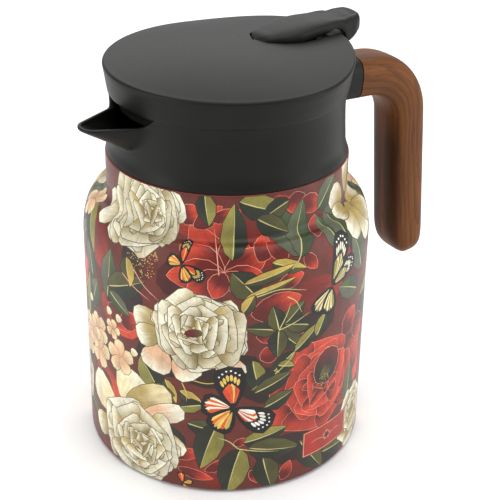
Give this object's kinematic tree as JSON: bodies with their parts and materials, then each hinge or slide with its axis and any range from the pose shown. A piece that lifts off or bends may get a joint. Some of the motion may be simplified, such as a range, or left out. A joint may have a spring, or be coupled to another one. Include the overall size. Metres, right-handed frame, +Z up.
{
  "type": "vacuum jug",
  "caption": "Insulated table jug with a printed floral steel body, black collar with pouring spout, walnut handle and a lift-off lid with a thumb lever.",
  "frame": {"origin": "centre of the base pad's underside, on the jug's axis, on the table", "axes": "+Z up, +X towards the handle, -X towards the spout, XZ the mirror plane"},
  "size_m": [0.1801, 0.125, 0.1871],
  "materials": {
    "printed_shell": "satin lacquer over a printed floral pattern of cream roses, red flowers and olive leaves",
    "steel": "brushed stainless steel",
    "black_plastic": "fine matt moulded polypropylene",
    "silicone": "translucent milky silicone",
    "rubber_pad": "matt black rubber",
    "walnut": "oiled walnut, satin"
  },
  "bodies": {
    "jug": {"outer_shell": "printed_shell", "inner_flask": "steel", "base_plate": "steel", "vacuum_seal_cap": "steel", "base_pad": "rubber_pad", "neck_ring": "black_plastic", "mouth_seal": "silicone", "collar": "black_plastic", "handle_ferrule": "black_plastic", "handle_tenon": "steel", "handle_screw": "steel", "wood_handle": "walnut"},
    "lid": {"lid_cover": "black_plastic", "lid_plate": "black_plastic", "stopper_cup": "black_plastic", "stopper_gasket": "silicone", "lever_pin": "steel", "valve_spring": "steel", "lid_screw_1": "steel", "lid_screw_2": "steel", "lid_screw_3": "steel"},
    "lever": {"thumb_lever": "black_plastic"},
    "valve": {"valve_stem": "steel", "valve_disc": "black_plastic", "valve_seal": "silicone"}
  },
  "joints": [
    {"name": "lid_lift", "type": "slide", "parent": "jug", "child": "lid", "axis": [0, 0, 1], "range_m": [0, 0.06]},
    {"name": "thumb_press", "type": "hinge", "parent": "lid", "child": "lever", "pos_m": [0.036, 0, 0.1728], "axis": [0, 1, 0], "range_deg": [0, 6], "stiffness_Nm_per_rad": 1.3, "springref_deg": -6.3},
    {"name": "valve_lift", "type": "slide", "parent": "lid", "child": "valve", "axis": [0, 0, 1], "range_m": [0, 0.0038], "deforming": ["valve_spring"]}
  ],
  "couplings": [
    {"joint": "valve_lift", "follows": "thumb_press", "m_per_rad": 0.036}
  ]
}
